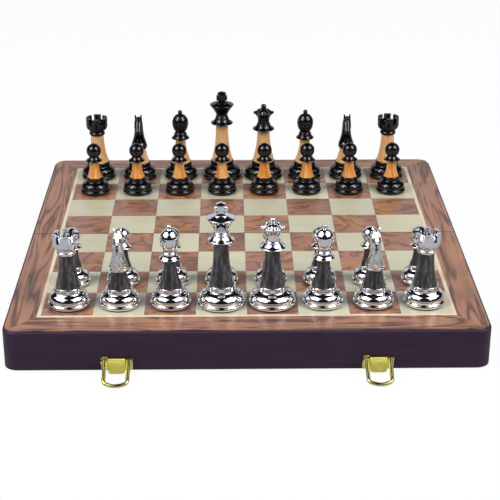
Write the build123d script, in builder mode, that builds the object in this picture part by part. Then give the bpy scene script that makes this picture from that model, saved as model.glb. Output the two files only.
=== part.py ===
from build123d import *
from math import asin, atan2, cos, radians, sin
import os

os.makedirs("parts", exist_ok=True)

# All lengths are in millimetres. X runs along the seam, -Y is the latch side, +Z is up.
# Z = 0 is the table under the box, and the origin lies below the middle of the board.

# Board and box, opened flat with the playing surface up, and its eight rows of squares
# inside the margin that the stringing and the border fill
half_width = 150.0
board_margin = 22.0
square = (half_width - board_margin) / 4
box_height = 26.4
wall_t = 10.0
panel_t = 5.0
veneer_t = 0.8
felt_t = 0.8
stringing_w = 2.5
corner_r = 9.0
edge_r = 1.4
veneer_inset = 1.6
veneer_joint = 0.1
seam_gap = 0.4
felt_below_rim = 2.0

# Butt hinges along the seam
hinge_x = 85.0
hinge_len = 30.0
knuckles = 5
barrel_r = 1.25
hinge_pin_r = 0.55
leaf_w = 9.0
leaf_t = 1.0
closed_gap = 0.2
leaf_nail_x = 9.0
leaf_nail_y = 5.6

# Nails: a countersunk one in the hinge leaves, a round-headed one in the plates
nail_shank_r = 0.6
nail_length = 7.0
nail_sunk_head_r = 1.3
nail_round_head_r = 1.2
nail_round_head_h = 0.6

# Loop latches on the front wall and their catches on the rear wall
latch_x = 80.0
plate_t = 0.8
base_plate_w = 19.2
base_plate_rise = 0.2
ear_w = 4.0
ear_outer_r = 2.4
ear_open_deg = 85.0
ear_cheek_t = 0.8
axle_height = 8.0
axle_r = 0.5
wire_r = 1.2
loop_eye_r = 1.3
loop_half_w = 7.2
loop_reach = 19.3
loop_bow = 3.2
loop_corner_r = 3.0
loop_end_r = 11.0
tongue_half_w = 5.2
tongue_t = 0.8
tongue_roll_r = 1.0
tongue_tip_out = 3.1
tongue_length = 7.8
tongue_bulge = 0.8
tongue_corner_r = 2.0
catch_half_w = 5.4
catch_foot = 1.2
catch_hook_half_w = 2.6
catch_hook_out = 4.7
catch_lip = 0.5
plate_nail_x = 3.4
base_nail_height = 3.2
catch_nail_height = 5.2

# Clearances
hinge_fit = 0.05
table_gap = 0.05
hook_play = 1.1
nail_fit = 0.03
knuckle_gap = 0.3
swing_gap = 0.35
leaf_gap = 0.1

# Chess pieces: felt pad, turned foot, flared stem and head, stacked on one axis
pad_t = 0.6
pad_inset = 1.1
foot_ring_h = 2.6
foot_lip = 0.9
groove = 0.35
cup_flare = 0.8
seat_ledge = 0.35
foot_gap = 0.9

king_height = 69.6
king_foot_r = square / 2 - foot_gap
king_foot_h = 14.2
king_seat_r = 8.1
king_neck_r = 4.6
king_stem_top = 42.8
king_collar_r = 8.5
king_collar_h = 4.6
king_crown_r = 9.1
king_crown_z = 58.6
king_cross_w = 8.0
king_cross_t = 3.0

queen_height = 58.9
queen_foot_r = square / 2 - foot_gap
queen_foot_h = 13.6
queen_seat_r = 8.3
queen_neck_r = 4.6
queen_stem_top = 37.9
queen_collar_r = 8.4
queen_collar_h = 4.6
queen_crown_r = 6.6
queen_crown_z = 52.0
queen_ball_r = 2.1
queen_points = 6
queen_point_r = 1.4

bishop_height = 54.2
bishop_foot_r = 13.1
bishop_foot_h = 13.0
bishop_seat_r = 7.6
bishop_neck_r = 3.8
bishop_stem_top = 30.8
bishop_collar_r = 6.9
bishop_collar_h = 4.0
bishop_mitre_r = 6.25
bishop_mitre_z = 44.0
bishop_ball_r = 1.7
bishop_cut_w = 1.0

knight_height = 51.2
knight_foot_r = 13.1
knight_foot_h = 12.8
knight_seat_r = 7.6
knight_neck_r = 4.7
knight_stem_top = 23.8
knight_collar_r = 6.1
knight_chest_w = 11.4
knight_head_w = 6.4
knight_muzzle_out = 9.2

rook_height = 48.6
rook_foot_r = 13.3
rook_foot_h = 13.3
rook_seat_r = 8.0
rook_neck_r = 4.85
rook_stem_top = 35.0
rook_collar_r = 5.9
rook_head_r = 8.1
rook_head_z = 38.7
rook_well_r = 5.7
rook_well_depth = 5.4
rook_notches = 6
rook_notch_w = 2.8
rook_notch_depth = 4.6

pawn_height = 38.6
pawn_foot_r = 11.15
pawn_foot_h = 12.4
pawn_seat_r = 5.5
pawn_neck_r = 3.4
pawn_stem_top = 24.5
pawn_collar_r = 6.2
pawn_ball_r = 5.5

# Levels and places worked out from the sizes above
hinge_axis_z = barrel_r
z_rim = hinge_axis_z + closed_gap / 2
z_top = z_rim + box_height
z_wall = z_top - veneer_t
wall_h = z_wall - z_rim
z_panel = z_wall - panel_t
z_felt = z_panel - felt_t
inner_x = half_width - wall_t
inner_y = half_width - wall_t
seam_y = seam_gap / 2
seam_wall_y = seam_y + wall_t
squares_half = 4 * square
stringing_out = squares_half + stringing_w
border_out = half_width - veneer_inset
axle_y = -(half_width + ear_outer_r)
axle_z = z_rim + axle_height
loop_drop = asin((axle_z - wire_r - table_gap) / loop_reach)
catch_hook_top = loop_reach - axle_height - closed_gap - wire_r - hook_play
halves = (("front", -1), ("rear", 1))


def save(shape, name):
    shape.label = name
    export_step(shape, f"parts/{name}.step")


def group(parts):
    return Compound([solid for part in parts for solid in part.solids()])


# Box walls

def nail_holes(places, direction, depth):
    for x, y, z in places:
        with Locations(Plane((x, y, z), z_dir=direction)):
            Cylinder(nail_shank_r + nail_fit, depth, mode=Mode.SUBTRACT)


def outer_wall(side):
    plate_holes = [(x + u, half_width * side, z_rim + h)
                   for x in (-latch_x, latch_x)
                   for u, h in plate_nails(side)]
    with BuildPart() as wall:
        with BuildSketch(Plane.XY.offset(z_rim)) as outline:
            with Locations((0, side * (half_width - wall_t / 2))):
                Rectangle(2 * half_width, wall_t)
            fillet(outline.vertices().group_by(Axis.Y)[-1 if side > 0 else 0], corner_r)
        extrude(amount=wall_h)
        outside = wall.faces().sort_by(Axis.Z)[-1].edges().filter_by(
            lambda e: abs(e.center().Y) > inner_y + edge_r)
        fillet(outside, edge_r)
        nail_holes(plate_holes, (0, -side, 0), 2 * nail_length)
    return wall.part


def plate_nails(side):
    height = base_nail_height if side < 0 else catch_nail_height
    return [(-plate_nail_x, height), (plate_nail_x, height)]


def hinge_nail_places(side):
    return [(x + u, side * leaf_nail_y, z_rim)
            for x in (-hinge_x, hinge_x) for u in (-leaf_nail_x, leaf_nail_x)]


def seam_wall(side):
    middle_y = side * (seam_y + wall_t / 2)
    with BuildPart() as wall:
        with Locations((0, middle_y, z_rim + wall_h / 2)):
            Box(2 * inner_x, wall_t, wall_h)
        for x in (-hinge_x, hinge_x):
            with Locations((x, side * leaf_w / 2, z_rim + leaf_t / 2)):
                Box(hinge_len + 2 * leaf_gap, leaf_w + 2 * leaf_gap, leaf_t, mode=Mode.SUBTRACT)
            with Locations((x, 0, hinge_axis_z)):
                Cylinder(barrel_r + swing_gap, hinge_len + 2 * swing_gap,
                         rotation=(0, 90, 0), mode=Mode.SUBTRACT)
        nail_holes(hinge_nail_places(side), (0, 0, 1), 2 * (nail_length + leaf_t))
    return wall.part


def side_wall(side, hand):
    length = inner_y - seam_y
    with BuildPart() as wall:
        with Locations((hand * (half_width - wall_t / 2), side * (seam_y + length / 2),
                        z_rim + wall_h / 2)):
            Box(wall_t, length, wall_h)
        top_outer = wall.edges().filter_by(Axis.Y).group_by(Axis.Z)[-1].sort_by(
            lambda e: abs(e.center().X))[-1]
        fillet(top_outer, edge_r)
    return wall.part


def top_panel(side):
    depth = inner_y - seam_wall_y
    with BuildPart() as panel:
        with Locations((0, side * (seam_wall_y + depth / 2), z_panel + panel_t / 2)):
            Box(2 * inner_x, depth, panel_t)
    return panel.part


def felt_sheet(x, y, z, size_x, size_y, size_z):
    with BuildPart() as sheet:
        with Locations((x, y, z)):
            Box(size_x, size_y, size_z)
    return sheet.part


def felt_lining(side):
    depth = inner_y - seam_wall_y
    middle_y = side * (seam_wall_y + depth / 2)
    strip_h = z_felt - z_rim - felt_below_rim
    strip_z = z_felt - strip_h / 2
    sheets = [felt_sheet(0, middle_y, z_felt + felt_t / 2, 2 * inner_x, depth, felt_t)]
    for end in (-1, 1):
        sheets.append(felt_sheet(end * (inner_x - felt_t / 2), middle_y, strip_z,
                                 felt_t, depth, strip_h))
        strip_y = middle_y + end * (depth / 2 - felt_t / 2)
        sheets.append(felt_sheet(0, strip_y, strip_z, 2 * (inner_x - felt_t), felt_t, strip_h))
    return group(sheets)


# Veneers

def board_squares(side, dark):
    with BuildPart() as squares:
        with BuildSketch(Plane.XY.offset(z_wall)):
            for column in range(8):
                for row in range(4):
                    rank = row + 4 if side > 0 else 3 - row
                    if ((column + rank) % 2 == 0) == dark:
                        near = max(row * square, seam_y)
                        far = (row + 1) * square
                        with Locations(((column - 3.5) * square, side * (near + far) / 2)):
                            Rectangle(square - veneer_joint, far - near - veneer_joint)
        extrude(amount=veneer_t)
    return squares.part


def inlay_band(side, inner, outer, round_r):
    middle = (inner + outer) / 2
    with BuildPart() as band:
        with BuildSketch(Plane.XY.offset(z_wall)) as outline:
            with Locations((0, side * (outer + seam_y) / 2)):
                Rectangle(2 * outer, outer - seam_y)
            if round_r > 0:
                fillet(outline.vertices().group_by(Axis.Y)[-1 if side > 0 else 0], round_r)
            with Locations((0, side * (inner + seam_y) / 2)):
                Rectangle(2 * inner, inner - seam_y, mode=Mode.SUBTRACT)
            for hand in (-1, 1):
                with Locations((hand * middle, side * middle)):
                    Rectangle(2 * (outer - inner), veneer_joint, rotation=45 * hand * side,
                              mode=Mode.SUBTRACT)
        extrude(amount=veneer_t)
    return band.part


# Hinges

def hinge_leaf(side, x):
    pitch = hinge_len / knuckles
    mine = [i for i in range(knuckles) if (i % 2 == 0) == (side < 0)]
    others = [i for i in range(knuckles) if i not in mine]
    with BuildPart() as leaf:
        with Locations((x, side * leaf_w / 2, z_rim + leaf_t / 2)):
            Box(hinge_len, leaf_w, leaf_t)
        for i in others:
            with Locations((x + (i + 0.5) * pitch - hinge_len / 2, 0, z_rim + leaf_t / 2)):
                Box(pitch + knuckle_gap, 2 * (barrel_r + knuckle_gap), 2 * leaf_t,
                    mode=Mode.SUBTRACT)
        for i in mine:
            with Locations((x + (i + 0.5) * pitch - hinge_len / 2, 0, hinge_axis_z)):
                Cylinder(barrel_r, pitch - knuckle_gap, rotation=(0, 90, 0))
        with Locations((x, 0, hinge_axis_z)):
            Cylinder(hinge_pin_r + hinge_fit, 2 * hinge_len, rotation=(0, 90, 0),
                     mode=Mode.SUBTRACT)
        for u in (-leaf_nail_x, leaf_nail_x):
            with Locations((x + u, side * leaf_nail_y, z_rim + leaf_t / 2)):
                Cone(nail_sunk_head_r + nail_fit, nail_shank_r + nail_fit, leaf_t,
                     mode=Mode.SUBTRACT)
    return leaf.part


def hinge_pin(x):
    with BuildPart() as pin:
        with Locations((x, 0, hinge_axis_z)):
            Cylinder(hinge_pin_r, hinge_len, rotation=(0, 90, 0))
    return pin.part


def sunk_nail(x, y, z):
    with BuildPart() as nail:
        with Locations((x, y, z + leaf_t / 2)):
            Cone(nail_sunk_head_r, nail_shank_r, leaf_t)
        with Locations((x, y, z + leaf_t + nail_length / 2)):
            Cylinder(nail_shank_r, nail_length)
    return nail.part


def round_nail(x, side, height):
    head_foot = side * (half_width + plate_t)
    with BuildPart(Plane((x, head_foot, z_rim + height), z_dir=(0, side, 0))) as nail:
        Cylinder(nail_round_head_r, nail_round_head_h, align=(Align.CENTER, Align.CENTER, Align.MIN))
        fillet(nail.edges().sort_by(SortBy.DISTANCE)[-1:], nail_round_head_h / 2)
        Cylinder(nail_shank_r, nail_length, align=(Align.CENTER, Align.CENTER, Align.MAX))
    return nail.part


def nails(side):
    sunk = [sunk_nail(*place) for place in hinge_nail_places(side)]
    round_ones = [round_nail(x + u, side, h)
                  for x in (-latch_x, latch_x) for u, h in plate_nails(side)]
    return group(sunk + round_ones)


# Latches

def ear(x, hand):
    """Hood over one end of the wire loop, with an outer cheek that holds the axle."""
    middle = x + hand * (base_plate_w / 2 - ear_w / 2)
    cheek = x + hand * (base_plate_w / 2 - ear_cheek_t / 2)
    inner_r = ear_outer_r - plate_t
    angles = [radians(a) for a in (ear_open_deg, (ear_open_deg + 180) / 2, 180)]
    inner = [(inner_r * cos(a), inner_r * sin(a)) for a in angles]
    outer = [(ear_outer_r * cos(a), ear_outer_r * sin(a)) for a in angles]
    with BuildPart() as hood:
        with BuildSketch(Plane((middle, axle_y, axle_z), x_dir=(0, -1, 0), z_dir=(-1, 0, 0))):
            with BuildLine():
                ThreePointArc(*inner)
                ThreePointArc(*outer)
                Line(inner[0], outer[0])
                Line(inner[2], outer[2])
            make_face()
        extrude(amount=ear_w / 2, both=True)
        with Locations((cheek, axle_y, axle_z)):
            Cylinder(ear_outer_r, ear_cheek_t, rotation=(0, 90, 0))
    return hood.part


def latch_base_plate(x):
    plate_h = axle_height - base_plate_rise
    gap_h = tongue_roll_r + swing_gap
    with BuildPart() as plate:
        with Locations((x, -(half_width + plate_t / 2), z_rim + base_plate_rise + plate_h / 2)):
            Box(base_plate_w, plate_t, plate_h)
        fillet(plate.edges().filter_by(Axis.Y).group_by(Axis.Z)[0], 1.0)
        with Locations((x, -(half_width + plate_t / 2), axle_z - gap_h / 2)):
            Box(base_plate_w - 2 * ear_w, 2 * plate_t, gap_h, mode=Mode.SUBTRACT)
        add(ear(x, -1))
        add(ear(x, 1))
        with Locations((x, axle_y, axle_z)):
            Cylinder(axle_r + nail_fit, 2 * base_plate_w, rotation=(0, 90, 0),
                     mode=Mode.SUBTRACT)
        nail_holes([(x + u, -half_width, z_rim + h) for u, h in plate_nails(-1)],
                   (0, 1, 0), 4 * plate_t)
    return plate.part


def latch_pin(x):
    with BuildPart() as pin:
        with Locations((x, axle_y, axle_z)):
            Cylinder(axle_r, base_plate_w, rotation=(0, 90, 0))
    return pin.part


def latch_loop(x):
    """Bowed wire loop whose two ends are eyes on the axle."""
    hang = Plane((x, axle_y, axle_z), x_dir=(1, 0, 0), z_dir=(0, -sin(loop_drop), cos(loop_drop)))
    bow_angle = atan2(loop_bow, loop_half_w)
    apex = loop_reach + loop_end_r * (1 / cos(bow_angle) - 1)
    corner_y = -(apex - loop_bow)
    points = [(-loop_half_w, 0), (-loop_half_w, corner_y), (0, -apex),
              (loop_half_w, corner_y), (loop_half_w, 0)]
    with BuildPart() as loop:
        with BuildLine(hang) as path:
            FilletPolyline(*points, radius=[loop_corner_r, loop_end_r, loop_corner_r])
        wire = path.wires()[0]
        with BuildSketch(Plane(wire @ 0, z_dir=wire % 0)):
            Circle(wire_r)
        sweep(path=wire)
        for hand in (-1, 1):
            with Locations((x + hand * loop_half_w, axle_y, axle_z)):
                Cylinder(loop_eye_r, 2 * wire_r + 0.1, rotation=(0, 90, 0))
        with Locations((x, axle_y, axle_z)):
            Cylinder(axle_r + hinge_fit, 2 * base_plate_w, rotation=(0, 90, 0),
                     mode=Mode.SUBTRACT)
    return loop.part


def latch_tongue(x):
    roll = tongue_roll_r
    tip = (tongue_tip_out, -tongue_length)
    middle = (roll * 0.5 + tip[0] / 2 + tongue_bulge, tip[1] / 2)
    tongue_plane = Plane((x, axle_y, axle_z), x_dir=(0, -1, 0), z_dir=(-1, 0, 0))
    with BuildPart() as tongue:
        with BuildSketch(tongue_plane):
            with BuildLine():
                front = ThreePointArc((roll, 0), middle, tip)
                back = ThreePointArc((roll - tongue_t, -0.2),
                                     (middle[0] - tongue_t, middle[1]),
                                     (tip[0] - tongue_t, tip[1]))
                Line(front @ 0, back @ 0)
                Line(front @ 1, back @ 1)
            make_face()
        extrude(amount=tongue_half_w, both=True)
        lower = tongue.edges().filter_by(
            lambda e: e.length < 1.5 * tongue_t and e.center().Z < axle_z - 0.9 * tongue_length)
        fillet(lower, tongue_corner_r)
        with Locations((x, axle_y, axle_z)):
            Cylinder(roll, 2 * tongue_half_w, rotation=(0, 90, 0))
            Cylinder(axle_r + hinge_fit, 3 * tongue_half_w, rotation=(0, 90, 0),
                     mode=Mode.SUBTRACT)
    return tongue.part


def catch_plate(x):
    face_y = half_width
    top = z_rim + catch_hook_top
    foot = z_rim + catch_foot
    with BuildPart() as plate:
        with Locations((x, face_y + plate_t / 2, (top + foot) / 2)):
            Box(2 * catch_half_w, plate_t, top - foot)
        with Locations((x, face_y + catch_hook_out / 2, top - plate_t / 2)):
            Box(2 * catch_hook_half_w, catch_hook_out, plate_t)
        with Locations((x, face_y + catch_hook_out - plate_t / 2, top + (catch_lip - plate_t) / 2)):
            Box(2 * catch_hook_half_w, plate_t, plate_t + catch_lip)
        nail_holes([(x + u, face_y, z_rim + h) for u, h in plate_nails(1)],
                   (0, 1, 0), 4 * plate_t)
    return plate.part


# Chess pieces, each turned about Z and standing on Z = 0

def revolved(draw):
    with BuildPart() as turned:
        with BuildSketch(Plane.XZ):
            with BuildLine():
                draw()
            make_face()
        revolve(axis=Axis.Z)
    return turned.part


def felt_pad(foot_r):
    with BuildPart() as pad:
        Cylinder(foot_r - pad_inset, pad_t, align=(Align.CENTER, Align.CENTER, Align.MIN))
    return pad.part


def turned_foot(foot_r, foot_h, seat_r):
    lip_r = foot_r - 0.6
    ring_z = pad_t + foot_ring_h
    dome_z = ring_z + 2 * groove
    cup_r = seat_r + cup_flare
    cup_z = pad_t + 0.68 * (foot_h - pad_t)
    bulge = 0.27 * (lip_r - cup_r)

    def draw():
        Polyline((0, pad_t), (foot_r - foot_lip, pad_t))
        ThreePointArc((foot_r - foot_lip, pad_t), (foot_r, pad_t + foot_ring_h / 2), (lip_r, ring_z))
        Polyline((lip_r, ring_z), (lip_r - groove, ring_z + groove), (lip_r, dome_z))
        ThreePointArc((lip_r, dome_z), ((lip_r + cup_r) / 2 + bulge, (dome_z + cup_z) / 2 + bulge),
                      (cup_r + groove, cup_z))
        Polyline((cup_r + groove, cup_z), (cup_r, cup_z), (cup_r, cup_z + groove))
        ThreePointArc((cup_r, cup_z + groove),
                      ((cup_r + seat_r) / 2 + groove, (cup_z + groove + foot_h) / 2),
                      (seat_r + seat_ledge, foot_h))
        Polyline((seat_r + seat_ledge, foot_h), (0, foot_h), (0, pad_t))
    return revolved(draw)


def turned_stem(foot_h, seat_r, neck_r, top):
    flare_z = foot_h + 0.66 * (top - foot_h)
    flare_r = neck_r + 0.3

    def draw():
        Line((0, foot_h), (seat_r, foot_h))
        ThreePointArc((seat_r, foot_h),
                      (flare_r + 0.33 * (seat_r - flare_r), foot_h + 0.42 * (flare_z - foot_h)),
                      (flare_r, flare_z))
        Polyline((flare_r, flare_z), (neck_r, top), (0, top), (0, foot_h))
    return revolved(draw)


def draw_collar(neck_r, collar_r, z, top_r, height):
    """Outline of a collar from its flat underside at z to (top_r, z + height)."""
    rim_z = z + 0.3 * height
    Polyline((0, z), (neck_r + seat_ledge, z), (neck_r + seat_ledge, z + 0.1 * height),
             (collar_r - 0.4, rim_z - 0.5))
    ThreePointArc((collar_r - 0.4, rim_z - 0.5), (collar_r, rim_z), (collar_r - 0.4, rim_z + 0.5))
    ThreePointArc((collar_r - 0.4, rim_z + 0.5),
                  ((collar_r + top_r) / 2 - 0.5, (rim_z + z + height) / 2 - 0.3),
                  (top_r, z + height))


def king_head():
    z = king_stem_top
    ring_z = z + king_collar_h
    crown_foot_z = ring_z + 2.4
    crown_foot_r = 4.4
    top_z = king_crown_z + 2.4

    def draw():
        draw_collar(king_neck_r, king_collar_r, z, 5.2, king_collar_h)
        Polyline((5.2, ring_z), (5.2, ring_z + 0.8), (4.7, ring_z + 1.1), (4.7, ring_z + 1.9),
                 (crown_foot_r, crown_foot_z))
        ThreePointArc((crown_foot_r, crown_foot_z),
                      (5.5, (crown_foot_z + king_crown_z) / 2),
                      (king_crown_r - 0.3, king_crown_z - 0.4))
        ThreePointArc((king_crown_r - 0.3, king_crown_z - 0.4), (king_crown_r, king_crown_z),
                      (king_crown_r - 0.5, king_crown_z + 0.5))
        ThreePointArc((king_crown_r - 0.5, king_crown_z + 0.5),
                      (5.6, king_crown_z + 1.6), (2.6, top_z))
        Polyline((2.6, top_z), (0, top_z), (0, z))
    with BuildPart() as head:
        add(revolved(draw))
        with BuildSketch(Plane.XZ):
            cross_h = king_height - top_z
            arm = king_cross_w / 2
            mid_z = top_z + 0.48 * cross_h
            for outline in cross_arms(arm, top_z, mid_z):
                Polygon(*outline, align=None)
        extrude(amount=king_cross_t / 2, both=True)
    return head.part


def cross_arms(arm, foot_z, mid_z):
    """Upright and cross bar of the king's cross, both flared towards their ends."""
    upright = [(-2.2, foot_z - 0.3), (2.2, foot_z - 0.3), (1.3, mid_z), (3.0, king_height - 0.5),
               (0, king_height), (-3.0, king_height - 0.5), (-1.3, mid_z)]
    bar = [(-arm, mid_z - 1.8), (0, mid_z - 1.1), (arm, mid_z - 1.8),
           (arm, mid_z + 1.8), (0, mid_z + 1.1), (-arm, mid_z + 1.8)]
    return upright, bar


def queen_head():
    z = queen_stem_top
    ring_z = z + queen_collar_h
    rim = queen_crown_r
    dome_top = queen_height - 1.6 * queen_ball_r

    def draw():
        draw_collar(queen_neck_r, queen_collar_r, z, 5.2, queen_collar_h)
        Polyline((5.2, ring_z), (5.2, ring_z + 0.9), (4.6, ring_z + 1.3))
        ThreePointArc((4.6, ring_z + 1.3), (4.4, ring_z + 4.3), (rim, queen_crown_z))
        ThreePointArc((rim, queen_crown_z), (rim * 0.78, queen_crown_z + 1.9), (1.6, dome_top))
        Polyline((1.6, dome_top), (0, dome_top), (0, z))
    with BuildPart() as head:
        add(revolved(draw))
        with Locations((0, 0, queen_height - queen_ball_r)):
            Sphere(queen_ball_r)
        with PolarLocations(rim, queen_points):
            with Locations((0, 0, queen_crown_z)):
                Sphere(queen_point_r)
    return head.part


def bishop_head():
    z = bishop_stem_top
    ring_z = z + bishop_collar_h
    mitre_foot = ring_z + 2.4
    mitre_top = bishop_height - 1.7 * bishop_ball_r
    wide = bishop_mitre_r

    def draw():
        draw_collar(bishop_neck_r, bishop_collar_r, z, 4.8, bishop_collar_h)
        Polyline((4.8, ring_z), (4.8, ring_z + 1.0), (4.0, ring_z + 1.5), (3.7, mitre_foot))
        ThreePointArc((3.7, mitre_foot), (5.6, mitre_foot + 3.2), (wide, bishop_mitre_z))
        ThreePointArc((wide, bishop_mitre_z), (wide * 0.78, bishop_mitre_z + 4.2), (1.2, mitre_top))
        Polyline((1.2, mitre_top), (0, mitre_top), (0, z))
    with BuildPart() as head:
        add(revolved(draw))
        with Locations((0, 0, bishop_height - bishop_ball_r)):
            Sphere(bishop_ball_r)
        with Locations(Location((-wide * 0.75, -wide * 0.3, bishop_mitre_z + 2.5), (0, 35, 0))):
            Box(wide, 3 * wide, bishop_cut_w, mode=Mode.SUBTRACT)
    return head.part


def rook_head():
    z = rook_stem_top

    def draw():
        Polyline((0, z), (rook_collar_r - 0.3, z), (rook_collar_r, z + 0.6), (rook_collar_r, z + 2.0),
                 (rook_collar_r - 0.5, z + 2.4), (rook_collar_r - 0.5, z + 3.0),
                 (rook_collar_r, rook_head_z))
        ThreePointArc((rook_collar_r, rook_head_z), (rook_head_r - 0.6, rook_head_z + 1.2),
                      (rook_head_r, rook_head_z + 3.2))
        Polyline((rook_head_r, rook_head_z + 3.2), (rook_head_r, rook_height),
                 (rook_well_r, rook_height), (rook_well_r, rook_height - rook_well_depth),
                 (0, rook_height - rook_well_depth), (0, z))
    with BuildPart() as head:
        add(revolved(draw))
        with PolarLocations(rook_head_r, rook_notches):
            with Locations((0, 0, rook_height)):
                Box(rook_head_r, rook_notch_w, 2 * rook_notch_depth, mode=Mode.SUBTRACT)
    return head.part


def pawn_head():
    z = pawn_stem_top
    ball_z = pawn_height - pawn_ball_r
    neck_r = 2.9
    neck_z = ball_z - (pawn_ball_r ** 2 - neck_r ** 2) ** 0.5

    def draw():
        draw_collar(pawn_neck_r, pawn_collar_r, z, 3.3, neck_z - z - 0.2)
        Line((3.3, neck_z - 0.2), (neck_r, neck_z))
        ThreePointArc((neck_r, neck_z), (pawn_ball_r, ball_z), (0, pawn_height))
        Line((0, pawn_height), (0, z))
    return revolved(draw)


def knight_head():
    z = knight_stem_top
    neck_z = z + 3.4
    out = knight_muzzle_out
    top = knight_height
    chest = knight_chest_w / 2
    cheek = knight_head_w / 2
    widths = [(knight_collar_r, z), (knight_collar_r, neck_z), (chest, neck_z),
              (chest, neck_z + 0.8), (cheek + 1.5, neck_z + 3.4), (cheek, neck_z + 6.4),
              (cheek, top - 5), (cheek * 0.85, top + 1)]

    def draw():
        Polyline((0, z), (knight_neck_r + seat_ledge, z), (knight_collar_r, z + 1.4))
        ThreePointArc((knight_collar_r, z + 1.4), (knight_collar_r + 0.2, z + 2.0),
                      (knight_collar_r, z + 2.6))
        Polyline((knight_collar_r, z + 2.6), (knight_collar_r - 0.9, neck_z), (0, neck_z), (0, z))
    with BuildPart() as head:
        add(revolved(draw))
        with BuildSketch(Plane.XZ):
            with BuildLine():
                Polyline((-6.0, neck_z), (5.6, neck_z))
                ThreePointArc((5.6, neck_z), (3.0, neck_z + 5), (3.2, neck_z + 9))
                Polyline((3.2, neck_z + 9), (out - 1.6, top - 13.6), (out, top - 11.2),
                         (out - 0.6, top - 8.6), (4.4, top - 3.4), (3.0, top), (1.4, top - 2.0))
                ThreePointArc((1.4, top - 2.0), (-5.4, top - 11), (-6.0, neck_z))
            make_face()
        extrude(amount=knight_chest_w, both=True)
        with BuildSketch(Plane.YZ):
            with BuildLine():
                Polyline(*[(-w, h) for w, h in widths], *[(w, h) for w, h in reversed(widths)],
                         close=True)
            make_face()
        extrude(amount=2 * out, both=True, mode=Mode.INTERSECT)
        add(revolved(draw))
    return head.part


def piece_solids(foot_r, foot_h, seat_r, neck_r, stem_top, head):
    return [felt_pad(foot_r), turned_foot(foot_r, foot_h, seat_r),
            turned_stem(foot_h, seat_r, neck_r, stem_top), head]


kinds = {
    "king": piece_solids(king_foot_r, king_foot_h, king_seat_r, king_neck_r,
                         king_stem_top, king_head()),
    "queen": piece_solids(queen_foot_r, queen_foot_h, queen_seat_r, queen_neck_r,
                          queen_stem_top, queen_head()),
    "bishop": piece_solids(bishop_foot_r, bishop_foot_h, bishop_seat_r, bishop_neck_r,
                           bishop_stem_top, bishop_head()),
    "knight": piece_solids(knight_foot_r, knight_foot_h, knight_seat_r, knight_neck_r,
                           knight_stem_top, knight_head()),
    "rook": piece_solids(rook_foot_r, rook_foot_h, rook_seat_r, rook_neck_r,
                         rook_stem_top, rook_head()),
    "pawn": piece_solids(pawn_foot_r, pawn_foot_h, pawn_seat_r, pawn_neck_r,
                         pawn_stem_top, pawn_head()),
}
back_rank = ("rook", "knight", "bishop", "king", "queen", "bishop", "knight", "rook")


def set_out(colour, side):
    """Stand one colour's pieces on their squares, the back rank on the outermost row."""
    for column in range(8):
        x = (column - 3.5) * square
        for kind, row in ((back_rank[column], 3.5), ("pawn", 2.5)):
            turn = -90 * side if kind == "knight" else 0
            place = Location((x, side * row * square, z_top), (0, 0, turn))
            solids = [part.moved(place) for part in kinds[kind]]
            name = f"{colour}_{kind}_{'abcdefgh'[column]}"
            save(group(solids), name)


for half, side in halves:
    save(group([outer_wall(side), seam_wall(side)]), f"{half}_long_walls")
    save(group([side_wall(side, -1), side_wall(side, 1)]), f"{half}_side_walls")
    save(top_panel(side), f"{half}_top_panel")
    save(felt_lining(side), f"{half}_felt_lining")
    save(board_squares(side, dark=False), f"{half}_light_squares")
    save(board_squares(side, dark=True), f"{half}_dark_squares")
    save(inlay_band(side, squares_half + veneer_joint / 2, stringing_out - veneer_joint / 2, 0),
         f"{half}_stringing")
    save(inlay_band(side, stringing_out + veneer_joint / 2, border_out, corner_r - veneer_inset),
         f"{half}_border_veneer")
    save(group([hinge_leaf(side, -hinge_x), hinge_leaf(side, hinge_x)]), f"{half}_hinge_leaves")
    save(nails(side), f"{half}_brass_nails")

save(group([hinge_pin(-hinge_x), hinge_pin(hinge_x)]), "hinge_pins")
save(group([latch_pin(-latch_x), latch_pin(latch_x)]), "latch_pins")
save(group([latch_base_plate(-latch_x), latch_base_plate(latch_x)]), "latch_base_plates")
save(group([catch_plate(-latch_x), catch_plate(latch_x)]), "catch_plates")
for hand, x in (("left", -latch_x), ("right", latch_x)):
    save(latch_loop(x), f"{hand}_latch_loop")
    save(latch_tongue(x), f"{hand}_latch_tongue")

set_out("silver", -1)
set_out("black", 1)
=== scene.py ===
from collections import namedtuple
from math import cos, hypot, pi, radians, sin

import bmesh
import bpy
from mathutils import Euler, Matrix, Vector


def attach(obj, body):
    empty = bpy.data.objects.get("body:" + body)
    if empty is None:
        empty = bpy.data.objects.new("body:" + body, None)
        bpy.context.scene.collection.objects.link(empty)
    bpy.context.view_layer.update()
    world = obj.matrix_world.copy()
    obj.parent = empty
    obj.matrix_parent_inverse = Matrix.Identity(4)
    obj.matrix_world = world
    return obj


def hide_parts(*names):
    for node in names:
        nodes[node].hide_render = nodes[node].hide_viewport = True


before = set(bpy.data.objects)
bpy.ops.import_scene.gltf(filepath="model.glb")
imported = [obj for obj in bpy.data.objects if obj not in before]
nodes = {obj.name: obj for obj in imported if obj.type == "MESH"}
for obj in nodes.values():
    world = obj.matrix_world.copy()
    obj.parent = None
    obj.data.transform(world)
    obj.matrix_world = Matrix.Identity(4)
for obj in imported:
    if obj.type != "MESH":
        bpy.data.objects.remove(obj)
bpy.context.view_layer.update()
MM = 0.001

# The squares' side and the height of the playing surface, in millimetres
SQUARE = 32.0
SURFACE = nodes["front_light_squares"]
Z_TOP = max((SURFACE.matrix_world @ vertex.co).z for vertex in SURFACE.data.vertices) / MM

# Where the pieces stand: rows are counted in squares from the seam
FILES = "abcdefgh"
BACK_RANK = ("rook", "knight", "bishop", "king", "queen", "bishop", "knight", "rook")
MIDDLE_FILE = 3.5
BACK_ROW, PAWN_ROW = 3.5, 2.5


# Materials

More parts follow.
